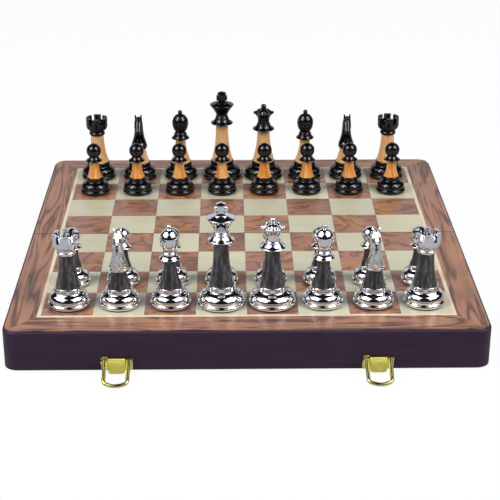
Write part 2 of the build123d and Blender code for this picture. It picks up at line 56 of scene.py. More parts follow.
class Graph:
    """The node tree of a material or world, whose nodes are added with their inputs given by name."""

    def __init__(self, owner, shader="Principled BSDF"):
        owner.use_nodes = True
        self.tree = owner.node_tree
        self.shader = self.tree.nodes[shader]

    def node(self, kind, inputs=None, **settings):
        made = self.tree.nodes.new(kind)
        for key, value in settings.items():
            setattr(made, key, value)
        for key, value in (inputs or {}).items():
            self.put(made.inputs[key], value)
        return made

    def put(self, socket, value):
        if isinstance(value, bpy.types.NodeSocket):
            self.tree.links.new(value, socket)
        else:
            socket.default_value = value

    def set(self, **values):
        """Give the shader its inputs, with underscores for the spaces in their names."""
        for key, value in values.items():
            self.put(self.shader.inputs[key.replace("_", " ")], value)

    def where(self, kind="Object"):
        return self.node("ShaderNodeTexCoord").outputs[kind]

    def split(self, vector):
        return self.node("ShaderNodeSeparateXYZ", {0: vector}).outputs

    def math(self, operation, a, b=0.0, c=0.0):
        return self.node("ShaderNodeMath", {0: a, 1: b, 2: c}, operation=operation).outputs[0]

    def spread(self, value, low, span):
        """A value from 0 to 1 as one from low to low + span."""
        return self.math("MULTIPLY_ADD", value, span, low)

    def step(self, value, start, end):
        """0 below start, 1 above end and a smooth rise between them."""
        return self.node("ShaderNodeMapRange", {"Value": value, "From Min": start, "From Max": end},
                         interpolation_type="SMOOTHSTEP").outputs[0]

    def vector(self, x=0.0, y=0.0, z=0.0):
        return self.node("ShaderNodeCombineXYZ", {0: x, 1: y, 2: z}).outputs[0]

    def stretched(self, xyz, waves):
        """A vector with each coordinate multiplied by its own number of waves per metre."""
        return self.vector(*[self.math("MULTIPLY", part, wave) for part, wave in zip(xyz, waves)])

    def noise(self, vector, scale=1.0, detail=4.0, roughness=0.55, distortion=0.0):
        return self.node("ShaderNodeTexNoise", {
            "Vector": vector, "Scale": scale, "Detail": detail,
            "Roughness": roughness, "Distortion": distortion}).outputs["Fac"]

    def ramp(self, value, *stops):
        """A colour or grey for each value, from stops of a place and a display colour or a grey."""
        made = self.node("ShaderNodeValToRGB", {"Fac": value})
        elements = made.color_ramp.elements
        while len(elements) < len(stops):
            elements.new(0.5)
        for element, (place, colour) in zip(elements, stops):
            element.position = place
            element.color = linear(colour) if isinstance(colour, tuple) else (colour, colour, colour, 1)
        return made.outputs["Color"]

    def mix(self, factor, a, b, blend="MIX"):
        made = self.node("ShaderNodeMix", data_type="RGBA", blend_type=blend)
        self.put(made.inputs["Factor"], factor)
        for socket, value in ((made.inputs[6], a), (made.inputs[7], b)):
            self.put(socket, linear(value) if isinstance(value, tuple) else value)
        return made.outputs[2]

    def shaded(self, colour, shade, share=1.0):
        return self.mix(share, colour, shade, "MULTIPLY")

    def bump(self, height, strength, distance):
        normal = self.node("ShaderNodeBump", {
            "Height": height, "Strength": strength, "Distance": distance}).outputs[0]
        self.put(self.shader.inputs["Normal"], normal)


def linear(colour):
    """A display colour from 0 to 255 as linear light. One with an alpha is linear already."""
    if len(colour) == 4:
        return colour
    light = [c / 255 / 12.92 if c <= 10 else ((c / 255 + 0.055) / 1.055) ** 2.4 for c in colour]
    return (*light, 1.0)


# A veneer's fine streaks, pores and broad patches: waves per metre along and across its grain
STREAK_WAVES, PORE_WAVES, PATCH_WAVES = (26, 520), (160, 2600), (34, 52)
PATCH_SEED = 5.3
SQUARE_SEEDS, SIDE_SEED = 40.0, 9.3

# Painted shade along the seam between the halves: how far from y = 0 it is darkest and where it ends, in
# millimetres, and how dark it gets
SEAM_SHADE_FULL, SEAM_SHADE_END, SEAM_SHADE = 0.25, 0.55, 0.22


def wood_grain(graph, along, across, seed, rings, ring_waves):
    """Growth rings, fine streaks, pores and broad patches of a veneer whose grain runs along one axis."""
    def figure(waves, start, **settings):
        place = graph.vector(graph.math("MULTIPLY", along, waves[0]),
                             graph.math("MULTIPLY", across, waves[1]), start)
        return graph.noise(place, **settings)

    growth = figure(ring_waves, seed, detail=2.0, roughness=0.45, distortion=0.5)
    ring = graph.math("PINGPONG", graph.math("MULTIPLY", growth, rings), 1.0)
    streaks = figure(STREAK_WAVES, seed, detail=4.0, roughness=0.65, distortion=0.3)
    pores = figure(PORE_WAVES, seed, detail=2.0, roughness=0.5)
    patches = figure(PATCH_WAVES, graph.math("ADD", seed, PATCH_SEED), detail=2.0, roughness=0.5,
                     distortion=0.4)
    return ring, streaks, pores, patches


def square_number(graph, xyz):
    """A different number from 0 to 1 on each square of the board."""
    column = graph.math("FLOOR", graph.math("DIVIDE", xyz[0], SQUARE * MM))
    row = graph.math("FLOOR", graph.math("DIVIDE", xyz[1], SQUARE * MM))
    made = graph.node("ShaderNodeTexWhiteNoise", {"Vector": graph.vector(column, row, 0.5)},
                      noise_dimensions="3D")
    return made.outputs["Value"]


def strip_axes(graph, xyz):
    """Along and across each mitred strip, and 1 where the strip runs from front to back."""
    side = graph.math("GREATER_THAN", graph.math("ABSOLUTE", xyz[0]), graph.math("ABSOLUTE", xyz[1]))
    front = graph.math("SUBTRACT", 1.0, side)
    along = graph.math("ADD", graph.math("MULTIPLY", xyz[0], front),
                       graph.math("MULTIPLY", xyz[1], side))
    across = graph.math("ADD", graph.math("MULTIPLY", xyz[1], front),
                        graph.math("MULTIPLY", xyz[0], side))
    return along, across, side


def veneer(name, body, warm, line, rings, streak_dark, line_weight, ring_waves=(16, 60),
           in_strips=False):
    """Satin veneer: warm patches over the body colour, then ring lines, streaks, pores and painted shade
    along the seam.
    """
    material = bpy.data.materials.new(name)
    graph = Graph(material)
    xyz = graph.split(graph.where())
    if in_strips:
        along, across, side = strip_axes(graph, xyz)
        seed = graph.math("MULTIPLY", side, SIDE_SEED)
    else:
        along, across = xyz[0], xyz[1]
        own = square_number(graph, xyz)
        seed = graph.math("MULTIPLY", own, SQUARE_SEEDS)
    ring, streaks, pores, patches = wood_grain(graph, along, across, seed, rings, ring_waves)
    colour = graph.mix(graph.ramp(patches, (0.44, 0.0), (0.62, 1.0)), body, warm)
    if not in_strips:
        colour = graph.shaded(colour, graph.ramp(own, (0.0, 0.80), (1.0, 1.0)))
    soft = graph.ramp(ring, (0.0, 1.0), (0.16, 0.72), (0.50, 0.10), (0.80, 0.0))
    colour = graph.mix(graph.math("MULTIPLY", soft, line_weight), colour, line)
    colour = graph.shaded(colour, graph.ramp(streaks, (0.30, 1.0 - streak_dark), (0.50, 1.0)))
    colour = graph.shaded(colour, graph.ramp(pores, (0.36, 0.86), (0.46, 1.0)), 0.5)
    # Painted shade: the colour is darker in a thin band on each side of the seam at y = 0
    from_seam = graph.math("MULTIPLY", graph.math("ABSOLUTE", xyz[1]), 1 / MM)
    colour = graph.shaded(colour, graph.ramp(from_seam, (SEAM_SHADE_FULL, SEAM_SHADE), (SEAM_SHADE_END, 1.0)))
    graph.set(Base_Color=colour, Roughness=graph.spread(patches, 0.29, 0.12),
              Coat_Weight=0.1, Coat_Roughness=0.18)
    graph.bump(pores, strength=0.25, distance=0.00004)
    return material


def lacquer():
    """Satin aubergine-brown lacquer with a painted highlight along its top edge, and the wood's grain
    just showing.
    """
    material = bpy.data.materials.new("satin_lacquer")
    graph = Graph(material)
    at = graph.where()
    xyz = graph.split(at)
    grain = graph.noise(graph.stretched(xyz, (30, 30, 600)), detail=5.0, roughness=0.6, distortion=0.4)
    mottle = graph.noise(at, scale=60.0, detail=3.0, roughness=0.5)
    base = graph.ramp(grain, (0.35, (52, 36, 56)), (0.70, (61, 43, 65)))
    # Painted highlight: the colour is brighter in a thin band at the top edge of the walls
    height = graph.math("MULTIPLY", xyz[2], 1 / (Z_TOP * MM))
    graph.set(Base_Color=graph.shaded(base, graph.ramp(height, (0.955, 1.0), (0.985, 1.35))),
              Roughness=graph.spread(mottle, 0.36, 0.16), Specular_IOR_Level=0.25)
    graph.bump(grain, strength=0.12, distance=0.00005)
    return material


def plywood():
    material = bpy.data.materials.new("panel_ply")
    graph = Graph(material)
    layers = graph.noise(graph.stretched(graph.split(graph.where()), (20, 1, 900)), detail=3.0)
    graph.set(Base_Color=graph.ramp(layers, (0.3, (150, 118, 82)), (0.7, (196, 164, 122))),
              Roughness=0.7)
    return material


def felt(name, dark, light):
    material = bpy.data.materials.new(name)
    graph = Graph(material)
    at = graph.where()
    fibres = graph.noise(at, scale=900.0, roughness=0.7, distortion=1.2)
    cloud = graph.noise(at, scale=90.0, detail=3.0, roughness=0.6)
    mixed = graph.math("MULTIPLY_ADD", cloud, 0.4, graph.math("MULTIPLY", fibres, 0.6))
    graph.set(Base_Color=graph.ramp(mixed, (0.35, dark), (0.65, light)), Roughness=0.95,
              Sheen_Weight=0.5, Sheen_Roughness=0.5)
    graph.bump(fibres, strength=0.6, distance=0.0002)
    return material


def brass(name, light, dark, least_rough, metal):
    """Polished yellow brass, a little duller in patches."""
    material = bpy.data.materials.new(name)
    graph = Graph(material)
    at = graph.where()
    patches = graph.noise(at, scale=220.0, roughness=0.6, distortion=0.4)
    brushed = graph.noise(graph.stretched(graph.split(at), (400, 2500, 2500)), detail=2.0)
    graph.set(Base_Color=graph.ramp(patches, (0.30, dark), (0.62, light)),
              Roughness=graph.spread(patches, least_rough, 0.16), Metallic=metal)
    graph.bump(brushed, strength=0.08, distance=0.00002)
    return material


def chrome():
    """Mirror plate with faint smears."""
    material = bpy.data.materials.new("chrome_plate")
    graph = Graph(material)
    smears = graph.noise(graph.where(), scale=140.0, detail=3.0, roughness=0.5)
    graph.set(Base_Color=graph.ramp(smears, (0.3, (222, 222, 228)), (0.7, (244, 244, 246))),
              Roughness=graph.spread(smears, 0.02, 0.05), Metallic=1.0)
    return material


def turned_streaks(graph, round_waves, up_waves, detail):
    """Noise that runs up a turned stem, in long streaks round its axis."""
    xyz = graph.split(graph.where())
    angle = graph.math("ARCTAN2", xyz[1], xyz[0])
    spin = graph.vector(graph.math("MULTIPLY", graph.math("COSINE", angle), round_waves),
                        graph.math("MULTIPLY", graph.math("SINE", angle), round_waves),
                        graph.math("MULTIPLY", xyz[2], up_waves))
    return graph.noise(spin, scale=1.6, detail=detail, roughness=0.62, distortion=0.5)


def gunmetal():
    """Charcoal stem with lengthwise smoky streaks under a gloss coat."""
    material = bpy.data.materials.new("gunmetal_stem")
    graph = Graph(material)
    streaks = turned_streaks(graph, round_waves=1.5, up_waves=62.0, detail=5.0)
    colour = graph.ramp(streaks, (0.30, (28, 27, 30)), (0.50, (62, 60, 62)), (0.72, (118, 115, 116)))
    graph.set(Base_Color=colour, Roughness=graph.spread(streaks, 0.28, 0.15), Metallic=0.3,
              Coat_Weight=0.35, Coat_Roughness=0.1)
    return material


def amber(name, deep, mid, pale):
    """Honey-orange stem, softly marbled under a gloss coat."""
    material = bpy.data.materials.new(name)
    graph = Graph(material)
    streaks = turned_streaks(graph, round_waves=0.9, up_waves=40.0, detail=2.0)
    graph.set(Base_Color=graph.ramp(streaks, (0.30, deep), (0.48, mid), (0.68, pale)), Roughness=0.3,
              Coat_Weight=0.6, Coat_Roughness=0.06, Subsurface_Weight=0.08, Subsurface_Scale=0.002)
    return material


def gloss_black():
    """Black enamel with a trace of dust."""
    material = bpy.data.materials.new("gloss_black_enamel")
    graph = Graph(material)
    dust = graph.noise(graph.where(), scale=300.0, roughness=0.6)
    graph.set(Base_Color=graph.ramp(dust, (0.3, (7, 5, 10)), (0.7, (13, 10, 17))),
              Roughness=graph.spread(dust, 0.03, 0.03), Specular_IOR_Level=0.6)
    return material


LACQUER = lacquer()
PLY = plywood()
LINING = felt("lining_felt", dark=(18, 52, 30), light=(34, 84, 50))
PAD = felt("pad_felt", dark=(20, 44, 28), light=(38, 72, 46))
LIGHT = veneer("maple_veneer", (208, 204, 178), (214, 209, 180), (190, 184, 154), rings=4.0,
               streak_dark=0.05, line_weight=0.25)
DARK = veneer("rosewood_squares", (164, 116, 97), (184, 130, 90), (88, 54, 44), rings=11.0,
              streak_dark=0.2, line_weight=0.72, ring_waves=(38, 52))
BORDER = veneer("rosewood_border", (162, 114, 90), (172, 120, 88), (70, 40, 34), rings=12.0,
                streak_dark=0.34, line_weight=0.9, ring_waves=(9, 95), in_strips=True)
STRING = veneer("cream_stringing", (226, 208, 180), (230, 214, 186), (206, 186, 156), rings=3.0,
                streak_dark=0.05, line_weight=0.3, in_strips=True)
BRASS = brass("polished_brass", light=(246, 238, 150), dark=(220, 206, 98), least_rough=0.08,
              metal=1.0)
TONGUE_BRASS = brass("lemon_brass", light=(246, 238, 122), dark=(238, 228, 104), least_rough=0.39,
                     metal=0.7)
CHROME = chrome()
GUNMETAL = gunmetal()
AMBER = amber("amber_stem", deep=(216, 122, 40), mid=(236, 154, 68), pale=(246, 198, 132))
HONEY = amber("honey_stem", deep=(232, 158, 78), mid=(234, 182, 116), pale=(228, 196, 164))
BLACK = gloss_black()

FINISHES = {
    "long_walls": LACQUER, "side_walls": LACQUER, "top_panel": PLY, "felt_lining": LINING,
    "light_squares": LIGHT, "dark_squares": DARK, "stringing": STRING, "border_veneer": BORDER,
    "latch_tongue": TONGUE_BRASS,
}


def finish_of(name):
    for ending, finish in FINISHES.items():
        if name.endswith(ending):
            return finish
    if name.startswith("silver_"):
        return CHROME
    if name.startswith("black_"):
        return BLACK
    return BRASS


for name, node in nodes.items():
    node.data.materials.clear()
    node.data.materials.append(finish_of(name))


# Tools for turned and built-up shapes, in millimetres. Each shape stands on z = 0 about the z axis.

# Material slots of a chess piece
FOOT, STEM, CAP, FELT = range(4)

TURNS = 80
ON_AXIS = 1e-6
SAME_POINT = 1e-4
SMALL_CORNER = 0.5


def rounded(points):
    """Profile points of radius, height and, where given, how far back their corner is rounded off."""
    out = []
    for i, (r, z, *cut) in enumerate(points):
        here = Vector((r, z))
        if not cut or i in (0, len(points) - 1):
            out.append(here)
            continue
        reach = cut[0]
        before = Vector(points[i - 1][:2]) - here
        after = Vector(points[i + 1][:2]) - here
        a = here + before.normalized() * min(reach, before.length * 0.5)
        b = here + after.normalized() * min(reach, after.length * 0.5)
        steps = 3 if reach < SMALL_CORNER else 7
        for k in range(steps + 1):
            t = k / steps
            out.append(a * (1 - t) ** 2 + here * 2 * t * (1 - t) + b * t * t)
    clean = [out[0]]
    for point in out[1:]:
        if (point - clean[-1]).length > SAME_POINT:
            clean.append(point)
    return clean


def bridge(mesh, rings, slot=CAP):
    """Join rings of as many vertices, or of one at a pole, into a smooth skin."""
    for low, high in zip(rings, rings[1:]):
        count = max(len(low), len(high))
        for k in range(count if count > 1 else 0):
            m = (k + 1) % count
            if len(low) == 1:
                face = (low[0], high[m], high[k])
            elif len(high) == 1:
                face = (low[k], low[m], high[0])
            else:
                face = (low[k], low[m], high[m], high[k])
            made = mesh.faces.new(face)
            made.material_index = slot
            made.smooth = True


def lathe(mesh, points, slot=CAP, wobble=None):
    """Turn a profile about z. A wobble gives the radius's share at each angle and height."""
    rings = []
    for p in rounded(points):
        ring = []
        for k in range(TURNS if p.x > ON_AXIS else 1):
            a = 2 * pi * k / TURNS
            r = p.x * (wobble(a, p.y) if wobble else 1.0)
            ring.append(mesh.verts.new((r * cos(a), r * sin(a), p.y)))
        rings.append(ring)
    bridge(mesh, rings, slot)


def blob(mesh, centre, radii, sides=16):
    """An ellipsoid."""
    steps = sides // 2 + 4
    rings = []
    for i in range(steps + 1):
        a = -pi / 2 + pi * i / steps
        ring = []
        for k in range(1 if i in (0, steps) else sides):
            b = 2 * pi * k / sides
            ring.append(mesh.verts.new((centre[0] + radii[0] * cos(a) * cos(b),
                                        centre[1] + radii[1] * cos(a) * sin(b),
                                        centre[2] + radii[2] * sin(a))))
        rings.append(ring)
    bridge(mesh, rings)


def ball(mesh, centre, radius):
    blob(mesh, centre, (radius, radius, radius), sides=22)


def block(mesh, low, high, turn, about=(0, 0, 0)):
    """A box between two corners, turned about a point."""
    about = Vector(about)
    v = [mesh.verts.new(turn @ (Vector((x, y, z)) - about) + about)
         for z in (low[2], high[2]) for y in (low[1], high[1]) for x in (low[0], high[0])]
    for quad in ((0, 2, 3, 1), (4, 5, 7, 6), (0, 1, 5, 4), (2, 6, 7, 3), (0, 4, 6, 2), (1, 3, 7, 5)):
        mesh.faces.new([v[i] for i in quad])


def limb(mesh, stations, sides=20):
    """Loft elliptical rings through stations of x, z, lean in degrees, depth and half width."""
    rings = []
    for x, z, lean, depth, width in stations:
        out = Vector((cos(radians(lean)), 0, sin(radians(lean))))
        rings.append([mesh.verts.new(Vector((x, 0, z)) + out * depth * cos(2 * pi * k / sides)
                                     + Vector((0, width * sin(2 * pi * k / sides), 0)))
                      for k in range(sides)])
    bridge(mesh, rings)
    mesh.faces.new(list(reversed(rings[0])))
    mesh.faces.new(rings[-1])


def finished(mesh, name):
    """The bmesh as a mesh, with the bmesh freed."""
    made = bpy.data.meshes.new(name)
    mesh.normal_update()
    mesh.to_mesh(made)
    mesh.free()
    return made


def holder(mesh, name):
    """A scene object that holds a bmesh while modifiers work on it."""
    made = bpy.data.objects.new(name, finished(mesh, name))
    bpy.context.scene.collection.objects.link(made)
    return made


def modified(thing, *spent):
    """The object's mesh after its modifiers. It and the other spent objects are removed."""
    bpy.context.view_layer.update()
    graph = bpy.context.evaluated_depsgraph_get()
    made = bpy.data.meshes.new_from_object(thing.evaluated_get(graph))
    for used in (thing, *spent):
        bpy.data.objects.remove(used)
    return made


def cut_away(body, tool):
    """Take the closed shapes of one bmesh out of another, and give the result as a mesh."""
    body = holder(body, "cut_body")
    tool = holder(tool, "cut_tool")
    modifier = body.modifiers.new("cut", "BOOLEAN")
    modifier.object = tool
    modifier.operation = "DIFFERENCE"
    modifier.solver = "EXACT"
    return modified(body, tool)


# Sizes of each kind of piece: its foot's radius and height, the radius where the stem is seated in
# it, the stem's waist as radii and heights, the radius and height of the stem's top, and the
# collar's radius and height, which the knight and rook don't have
Size = namedtuple("Size", "foot_r foot_h seat waist neck stem_top collar_r collar_h", defaults=(0, 0))

SIZES = {
    "king": Size(15.1, 14.2, 8.1, ((7.25, 17.3), (5.9, 23.5), (4.95, 31.5)), 4.6, 42.8, 8.5, 4.6),
    "queen": Size(15.1, 13.6, 8.3, ((7.7, 16.2), (6.5, 20.8), (5.1, 28.5)), 4.6, 37.9, 8.4, 4.6),
    "bishop": Size(13.1, 13.0, 7.6, ((7.0, 14.7), (5.7, 18.2), (4.2, 24.2)), 3.8, 30.8, 6.9, 4.0),
    "knight": Size(13.1, 12.8, 7.6, ((6.9, 14.6), (5.7, 18.2)), 4.7, 23.8),
    "rook": Size(13.3, 13.3, 8.0, ((7.4, 15.5), (6.2, 20.0), (5.2, 27.0)), 4.85, 35.0),
    "pawn": Size(11.15, 12.4, 5.5, ((4.9, 13.9), (4.1, 16.6), (3.65, 20.0)), 3.4, 24.5, 6.2, 3.7),
}

# The felt pad, and where the foot's dome starts above it
PAD_H = 0.6
PAD_INSET = 1.1
DOME_FROM = 3.85
DOME_SHARE = 0.68

# Outline of the dome: share of the way up it, and share of the way from its cup to its lip
SHOULDER = ((0.18, 1.0), (0.40, 0.98), (0.62, 0.85), (0.86, 0.62), (0.98, 0.34), (1.09, 0.12),
            (1.20, 0.0))
SHOULDER_ROUND = 0.9

# How far the corners of a flowing line are rounded off: as far as its lengths allow
FLOW = 9.0


def foot(size):
    """A ring at the bottom, a groove, the dome and the cup that the stem is seated in."""
    r, h, seat = size.foot_r, size.foot_h, size.seat
    lip, cup = r - 0.8, seat + 0.75
    dome = PAD_H + DOME_SHARE * (h - PAD_H) - DOME_FROM
    shoulder = [(cup + f * (lip - cup), DOME_FROM + t * dome, SHOULDER_ROUND) for t, f in SHOULDER]
    return [(0, PAD_H), (r - 1.0, PAD_H, 0.2), (r - 0.15, 1.0, 0.5), (r, 2.0, 0.8),
            (r - 0.3, 2.9, 0.5), (r - 1.0, 3.3, 0.2), (r - 1.25, 3.6, 0.12), (r - 1.0, DOME_FROM, 0.2),
            *shoulder, (cup - 0.05, h - 0.7, 0.5), (seat + 0.5, h - 0.15, 0.3), (seat + 0.3, h, 0.12),
            (seat - 0.6, h, 0.1), (0, h)]


def stem(size):
    return [(0, size.foot_h), (size.seat, size.foot_h, 0.15), *[(r, z, FLOW) for r, z in size.waist],
            (size.neck, size.stem_top, 0.1), (0, size.stem_top)]


def collar(size, top_r):
    """The collar's flat rim low down on it, and its cone up to the radius of what stands on it."""
    neck, rim, z, h = size.neck, size.collar_r, size.stem_top, size.collar_h
    return [(0, z), (neck + 0.35, z, 0.1), (neck + 0.35, z + 0.1 * h, 0.15),
            (rim - 1.3, z + 0.17 * h, 0.5), (rim - 0.15, z + 0.23 * h, 0.3), (rim, z + 0.30 * h, 0.25),
            (rim - 0.35, z + 0.39 * h, 0.3), ((rim + top_r) / 2 - 0.4, z + 0.62 * h, 1.2),
            (top_r + 0.1, z + 0.95 * h, 0.3), (top_r, z + h, 0.1)]


# Heads: each function draws one kind's and gives the meshes that it is made of

def king(size):
    """A flared crown with a cross."""
    mesh = bmesh.new()
    ring = 5.2
    lathe(mesh, collar(size, ring) + [
        (ring, 48.2, 0.2), (4.75, 48.5, 0.15), (4.75, 49.2, 0.15), (4.3, 49.8, 0.3), (4.4, 51.4, 1.5),
        (6.2, 54.6, FLOW), (8.75, 58.0, 0.4), (9.1, 58.5, 0.2), (8.95, 58.9, 0.2), (7.0, 59.7, 0.8),
        (4.9, 60.5, 1.0), (3.0, 61.1, 0.3), (0, 61.1)])
    cross(mesh)
    return [finished(mesh, "king_head")]


def cross(mesh):
    """A flared cross with a small peak, its front and back faces bevelled."""
    base, mid, top = 60.4, 64.2, 68.9
    half_t, bevel, face_share = 1.4, 0.35, 0.90
    right = [(2.9, base), (2.4, mid - 2.3), (3.9, mid - 1.9), (4.1, mid - 1.5), (4.1, mid + 1.2),
             (3.9, mid + 1.6), (2.7, mid + 2.0), (3.3, top - 1.6), (3.1, top - 0.9)]
    outline = right + [(0, top)] + [(-x, z) for x, z in reversed(right)]
    layers = ((-half_t, face_share), (bevel - half_t, 1.0), (half_t - bevel, 1.0), (half_t, face_share))
    loops = [[mesh.verts.new((x * share, y, mid + (z - mid) * share)) for x, z in outline]
             for y, share in layers]
    after = [(k + 1) % len(outline) for k in range(len(outline))]
    for a, b in zip(loops, loops[1:]):
        for k, m in enumerate(after):
            mesh.faces.new((a[k], a[m], b[m], b[k]))
    for loop, facing_front in ((loops[0], True), (loops[-1], False)):
        hub = mesh.verts.new((0, loop[0].co.y, mid))
        for k, m in enumerate(after):
            mesh.faces.new((loop[m], loop[k], hub) if facing_front else (loop[k], loop[m], hub))


def queen(size):
    """A coronet that swells under its six points, with a dome and a ball."""
    points = 6
    swell, swell_from, swell_over = 0.10, 48.2, 4.0

    def scallop(angle, z):
        rise = min(1.0, max(0.0, (z - swell_from) / swell_over))
        return 1.0 + swell * rise * cos(points * angle)

    mesh = bmesh.new()
    ring = 5.2
    lathe(mesh, collar(size, ring) + [
        (ring, 43.3, 0.2), (4.7, 43.6, 0.15), (4.5, 44.2, 0.3), (4.3, 46.2, FLOW), (4.9, 49.0, FLOW),
        (6.4, 51.3, 0.5), (6.7, 52.0, 0.2), (6.3, 52.4, 0.2), (5.7, 52.9, 0.6), (4.4, 54.3, 1.4),
        (2.2, 55.1, 0.5), (1.4, 55.3, 0.2), (1.2, 55.8, 0.2), (0, 55.8)], wobble=scallop)
    ball(mesh, (0, 0, 56.8), 2.1)
    point_out, point_z, point_r = 6.6, 52.1, 1.3
    for k in range(points):
        a = 2 * pi * k / points
        ball(mesh, (point_out * cos(a), point_out * sin(a), point_z), point_r)
    return [finished(mesh, "queen_head")]


def bishop(size):
    """A mitre with a slit and a ball."""
    top = bmesh.new()
    ball(top, (0, 0, 52.5), 1.7)
    mitre = bmesh.new()
    ring = 4.8
    lathe(mitre, collar(size, ring) + [
        (ring, 35.8, 0.2), (4.2, 36.2, 0.15), (3.9, 36.7, 0.3), (4.0, 37.4, 0.4), (5.5, 39.8, FLOW),
        (6.3, 43.5, FLOW), (5.9, 47.1, FLOW), (3.7, 50.2, FLOW), (1.5, 51.1, 0.4), (1.2, 51.4, 0.15),
        (0, 51.4)])
    return [finished(top, "mitre_ball"), cut_away(mitre, slit())]


def slit():
    """The blade that opens the mitre on its left."""
    left, right, half_y = -7.8, -1.6, 9.4
    bottom, top, lean = 46.0, 47.0, 35
    mesh = bmesh.new()
    block(mesh, (left, -half_y, bottom), (right, half_y, top), Matrix.Rotation(radians(lean), 3, "Y"),
          about=((left + right) / 2, 0, (bottom + top) / 2))
    return mesh


def rook(size):
    """A tower with a well in its top and battlements round it."""
    z, rim_r, well_r, top, floor_z = size.stem_top, 8.1, 5.7, 48.6, 43.2
    mesh = bmesh.new()
    lathe(mesh, [(0, z), (5.6, z, 0.2), (5.95, 35.5, 0.3), (5.95, 36.8, 0.3), (5.5, 37.3, 0.15),
                 (5.4, 37.9, 0.2), (6.0, 38.7, 0.5), (7.5, 39.8, 0.9), (rim_r, 41.6, 1.2),
                 (rim_r, top, 0.3), (well_r, top, 0.3), (well_r, floor_z, 0.3), (0, floor_z)])
    return [cut_away(mesh, notches())]


def notches():
    """Six blocks that cut the rook's battlements."""
    count, half_w = 6, 1.4
    inside, outside, bottom, top = 4.2, 9.0, 44.0, 50.0
    mesh = bmesh.new()
    for k in range(count):
        spin = Matrix.Rotation(2 * pi * k / count, 3, "Z")
        block(mesh, (inside, -half_w, bottom), (outside, half_w, top), spin)
    return mesh


def pawn(size):
    """A ball on a short neck."""
    r, centre_z, top = 5.5, 33.1, 38.6
    sphere = [(r * cos(radians(a)), centre_z + r * sin(radians(a))) for a in range(-54, 90, 9)]
    mesh = bmesh.new()
    lathe(mesh, collar(size, size.neck) + [(3.0, 28.4, 0.2), *sphere, (0, top)])
    return [finished(mesh, "pawn_head")]


def knight(size):
    """A low collar and the horse's neck and head on it."""
    z = size.stem_top
    mesh = bmesh.new()
    lathe(mesh, [(0, z), (5.2, z, 0.15), (5.8, 24.2, 0.3), (6.0, 24.8, 0.3), (5.7, 25.3, 0.3),
                 (0, 25.8)])
    return [finished(mesh, "knight_collar"), horse()]


# The horse faces +x. Its neck, head and ears are stations for a limb.
NECK = ((0.2, 24.6, 0, 6.0, 6.1), (-0.1, 26.4, 2, 6.2, 6.1), (-0.6, 28.8, 6, 5.8, 5.3),
        (-1.1, 31.4, 10, 5.2, 4.4), (-1.5, 34.2, 12, 4.8, 3.8), (-1.3, 37.6, 6, 4.5, 3.4),
        (-0.5, 41.4, -12, 4.3, 3.3), (0.7, 44.6, -30, 3.9, 3.2), (1.8, 46.9, -42, 2.9, 2.9))
HEAD = ((-0.3, 45.3, 46, 3.2, 2.8), (1.2, 44.8, 50, 3.6, 3.1), (2.9, 43.4, 48, 3.5, 3.1),
        (4.4, 42.0, 46, 2.9, 2.7), (5.8, 40.6, 44, 2.3, 2.3), (7.0, 39.3, 44, 2.0, 2.2),
        (7.9, 38.3, 44, 1.7, 2.0), (8.5, 37.7, 44, 1.0, 1.3))
EAR = ((0.9, 46.6, -18, 1.25, 1.1), (1.15, 48.2, -16, 1.3, 1.05), (1.5, 49.9, -12, 0.95, 0.8),
       (1.75, 51.1, -10, 0.4, 0.4))
EAR_OUT, EAR_SPLAY = 1.75, 0.10

# Centre and radii of the chest, and of the cheek, brow and nostril on the horse's left side
CHEST = ((1.5, 0, 27.0), (4.8, 5.3, 2.9))
SWELLS = (((2.3, 1.6, 41.5), (2.5, 1.75, 2.5)), ((3.6, 2.35, 44.0), (0.75, 0.75, 0.6)),
          ((7.3, 1.25, 39.2), (1.1, 0.9, 1.1)))

# The mane's crest as x and z, and the locks along it
MANE = ((-4.6, 26.8), (-5.6, 29.8), (-6.3, 33.2), (-6.2, 36.8), (-5.2, 40.4), (-3.5, 43.8),
        (-1.3, 46.4), (1.0, 48.2))
LOCKS, LOCK_BACK, LOCK_RADII = 5, 0.45, (1.6, 1.35, 1.3)
STRAND_WAVE, STRAND_DEPTH, STRAND_REACH, MANE_FROM = 3.7, 0.26, 8.0, 27.0

# Carved lines: the mouth as a line's point and slope, its start, half width and depth, then rings
# round the eye, nostril and jaw as a centre in x and z, a radius, a half width and a depth
MOUTH_AT, MOUTH_SLOPE = (7.7, 37.6), (0.66, 0.75)
MOUTH_FROM, MOUTH_FADE, MOUTH_HALF_W, MOUTH_DEPTH = 5.6, 0.8, 0.42, 0.55
RINGS = (((3.6, 44.0), 0.9, 0.35, 0.28), ((7.5, 39.7), 0.0, 0.55, 0.5), ((2.3, 41.4), 2.45, 0.55, 0.32))
RINGS_FROM = 0.4

# Carving is kept to the horse's back and to where its skin faces sideways
BACK_X, SIDEWAYS = -2.0, 0.2

# The horse's skin: the size of its grain, a coarser grain size, and how much it is smoothed
SKIN, QUICK_SKIN = 0.24, 0.30
SMOOTH_SHARE, SMOOTH_ROUNDS = 0.5, 7


def groove(off, half_width, depth):
    """Depth of a V groove at a distance off its middle."""
    return depth * max(0.0, 1 - abs(off) / half_width)


def carved(position):
    """How far a point of the horse moves along its normal for its mane, mouth, eye and nostril."""
    x, y, z = position
    shift = 0.0
    if z > MANE_FROM:
        nearest = min((x - mx) ** 2 + (z - mz) ** 2 for mx, mz in MANE)
        strand = cos(STRAND_WAVE * y + 0.5 * sin(0.5 * (z + x))) ** 2
        shift -= STRAND_DEPTH * (1 - strand) * max(0.0, 1 - nearest / STRAND_REACH)
    if x > MOUTH_FROM:
        off = (x - MOUTH_AT[0]) * MOUTH_SLOPE[0] - (z - MOUTH_AT[1]) * MOUTH_SLOPE[1]
        fade = min(1.0, (x - MOUTH_FROM) / MOUTH_FADE)
        shift -= groove(off, MOUTH_HALF_W, MOUTH_DEPTH) * fade
    if x > RINGS_FROM:
        for (cx, cz), radius, half_width, depth in RINGS:
            shift -= groove(hypot(x - cx, z - cz) - radius, half_width, depth)
    return shift


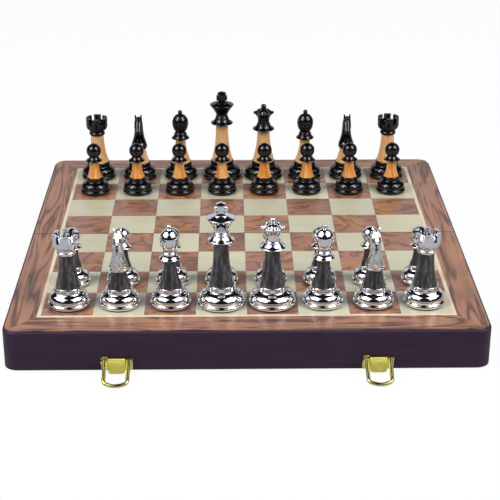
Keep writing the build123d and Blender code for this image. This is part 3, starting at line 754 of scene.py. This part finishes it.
def horse():
    """The knight's neck and head: lofts and ellipsoids grown into one skin, then carved."""
    mesh = bmesh.new()
    limb(mesh, NECK)
    limb(mesh, HEAD)
    blob(mesh, *CHEST)
    for side in (-1, 1):
        for (x, y, z), radii in SWELLS:
            blob(mesh, (x, side * y, z), radii)
        before = len(mesh.verts)
        limb(mesh, EAR, sides=12)
        for vertex in list(mesh.verts)[before:]:
            vertex.co.y += side * (EAR_OUT + EAR_SPLAY * (vertex.co.z - EAR[0][1]))
    for low, high in zip(MANE, MANE[1:]):
        for k in range(LOCKS):
            t = k / LOCKS
            x = low[0] * (1 - t) + high[0] * t
            z = low[1] * (1 - t) + high[1] * t
            blob(mesh, (x - LOCK_BACK, 0, z), LOCK_RADII, sides=14)
    rough = holder(mesh, "horse_rough")
    skin = rough.modifiers.new("skin", "REMESH")
    skin.mode = "VOXEL"
    skin.voxel_size = SKIN
    soften = rough.modifiers.new("soften", "SMOOTH")
    soften.factor = SMOOTH_SHARE
    soften.iterations = SMOOTH_ROUNDS
    made = modified(rough)
    normals = [vertex.normal.copy() for vertex in made.vertices]
    for vertex, normal in zip(made.vertices, normals):
        if abs(normal.y) > SIDEWAYS or vertex.co.x < BACK_X:
            vertex.co += normal * carved(vertex.co)
    return made


# Whole pieces, set out on the board

HEADS = {"king": king, "queen": queen, "bishop": bishop, "knight": knight, "rook": rook, "pawn": pawn}


def shape(kind):
    """The whole piece of one kind as a mesh with slots for its foot, stem, head and felt."""
    size = SIZES[kind]
    pad_r = size.foot_r - PAD_INSET
    mesh = bmesh.new()
    lathe(mesh, [(0, 0), (pad_r, 0, 0.1), (pad_r, PAD_H, 0.1), (0, PAD_H)], FELT)
    lathe(mesh, foot(size), FOOT)
    lathe(mesh, stem(size), STEM)
    for head in HEADS[kind](size):
        for face in head.polygons:
            face.material_index = CAP
            face.use_smooth = True
        mesh.from_mesh(head)
    made = finished(mesh, kind)
    made.transform(Matrix.Scale(MM, 4))
    return made


SHAPES = {kind: shape(kind) for kind in SIZES}

# Each colour's side of the seam, its metal, and the stems of its pawns and of its other pieces
SETS = (("silver", -1, CHROME, GUNMETAL, GUNMETAL), ("black", 1, BLACK, AMBER, HONEY))

# Degrees that each next pawn and rook is turned by, so that their stems' streaks differ
PAWN_TURN, ROOK_TURN = 67, 60
CREASE = 40


def dressed(kind, metal, stem_finish):
    """A copy of one kind's shape in its finishes, in the order of its slots."""
    made = SHAPES[kind].copy()
    for finish in (metal, stem_finish, metal, PAD):
        made.materials.append(finish)
    made.set_sharp_from_angle(angle=radians(CREASE))
    return made


def set_out(colour, side, metal, pawn_stem, piece_stem):
    """Stand one colour's pieces on their squares, each riding on its own body."""
    meshes = {kind: dressed(kind, metal, pawn_stem if kind == "pawn" else piece_stem) for kind in SIZES}
    for i, letter in enumerate(FILES):
        for kind, row in ((BACK_RANK[i], BACK_ROW), ("pawn", PAWN_ROW)):
            name = f"{colour}_{kind}_{letter}"
            piece = bpy.data.objects.new("turned_" + name, meshes[kind])
            bpy.context.scene.collection.objects.link(piece)
            turn = {"knight": -90 * side, "pawn": PAWN_TURN * i, "rook": ROOK_TURN * i}.get(kind, 0)
            piece.location = ((i - MIDDLE_FILE) * SQUARE * MM, side * row * SQUARE * MM, Z_TOP * MM)
            piece.rotation_euler = (0, 0, radians(turn))
            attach(piece, name)
            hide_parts(name)


for finishes in SETS:
    set_out(*finishes)


# Floor, light and camera, in metres

FLOOR_REACH, FLOOR_DROP = 4.0, 0.0003
FLOOR_COLOUR, FLOOR_ALPHA = (250, 250, 250), 0.06

# The surroundings as linear colours. Each edge is a range of height, or of depth for the
# backdrop's sides, on a sky of radius 1, over which one colour blends into the next.
PAPER, ROOM, BACKDROP = (0.44, 0.45, 0.48, 1), (0.012, 0.012, 0.016, 1), (0.66, 0.67, 0.70, 1)
SEEN_BY_CAMERA = (1, 1, 1, 1)
PAPER_EDGE, BACKDROP_TOP, BACKDROP_EDGE = (0.0, 0.03), (0.50, 0.70), (0.60, 0.80)

# Two soft panels, left and right, each with a bright strip a little in front of it
PANEL_AT = Vector((0.93, -0.46, 1.08))
PANEL_SIZE, PANEL_LIGHT = (1.8, 1.1), 1.25
CORE_SIZE, CORE_LIGHT, CORE_SHARE = (0.36, 1.1), 8.5, 0.98
AIM = Vector((0, 0, 0.03))

# Camera fitted to the corners of the squares in the photograph
CAMERA_AT = (-0.01146, -0.88702, 0.41074)
CAMERA_TURN = (65.930, -0.113, -0.938)
LENS_MM, SENSOR_MM = 98.42, 36.0
NEAREST = 0.01


def floor():
    """A pale floor, nearly clear, just under the box."""
    mesh = bpy.data.meshes.new("floor")
    reach = FLOOR_REACH
    mesh.from_pydata([(-reach, -reach, 0), (reach, -reach, 0), (reach, reach, 0), (-reach, reach, 0)],
                     [], [(0, 1, 2, 3)])
    made = bpy.data.objects.new("floor", mesh)
    bpy.context.scene.collection.objects.link(made)
    made.location.z = -FLOOR_DROP
    material = bpy.data.materials.new("pale_floor")
    Graph(material).set(Base_Color=linear(FLOOR_COLOUR), Roughness=0.8, Alpha=FLOOR_ALPHA)
    mesh.materials.append(material)


def area(name, at, size, radiance):
    """A softbox of a given width, height and brightness, unseen by the camera itself."""
    light = bpy.data.lights.new(name, "AREA")
    light.shape = "RECTANGLE"
    light.size, light.size_y = size
    light.energy = radiance * pi * size[0] * size[1]
    made = bpy.data.objects.new(name, light)
    bpy.context.scene.collection.objects.link(made)
    made.location = at
    made.rotation_euler = (AIM - at).to_track_quat("-Z", "Y").to_euler()
    made.visible_camera = False


def studio():
    """Pale paper below, a pale backdrop behind and a dim room elsewhere. The camera sees plain white."""
    world = bpy.data.worlds.new("studio")
    bpy.context.scene.world = world
    graph = Graph(world, "Background")
    sky = graph.split(graph.where("Generated"))
    behind = graph.mix(graph.step(sky[2], *BACKDROP_TOP), BACKDROP, ROOM)
    above = graph.mix(graph.step(sky[1], *BACKDROP_EDGE), ROOM, behind)
    room = graph.mix(graph.step(sky[2], *PAPER_EDGE), PAPER, above)
    by_camera = graph.node("ShaderNodeLightPath").outputs["Is Camera Ray"]
    graph.set(Color=graph.mix(by_camera, room, SEEN_BY_CAMERA))


def camera():
    """The camera that took the photograph, as fitted."""
    lens = bpy.data.cameras.new("camera")
    lens.lens = LENS_MM
    lens.sensor_width = SENSOR_MM
    lens.clip_start = NEAREST
    made = bpy.data.objects.new("camera", lens)
    made.location = CAMERA_AT
    made.rotation_euler = Euler([radians(a) for a in CAMERA_TURN], "XYZ")
    bpy.context.scene.collection.objects.link(made)
    bpy.context.scene.camera = made
    bpy.context.scene.view_settings.view_transform = "Standard"


floor()
studio()
for side, name in ((-1, "left"), (1, "right")):
    at = Vector((side * PANEL_AT.x, PANEL_AT.y, PANEL_AT.z))
    area(name + "_panel", at, PANEL_SIZE, PANEL_LIGHT)
    area(name + "_core", at * CORE_SHARE, CORE_SIZE, CORE_LIGHT)
camera()
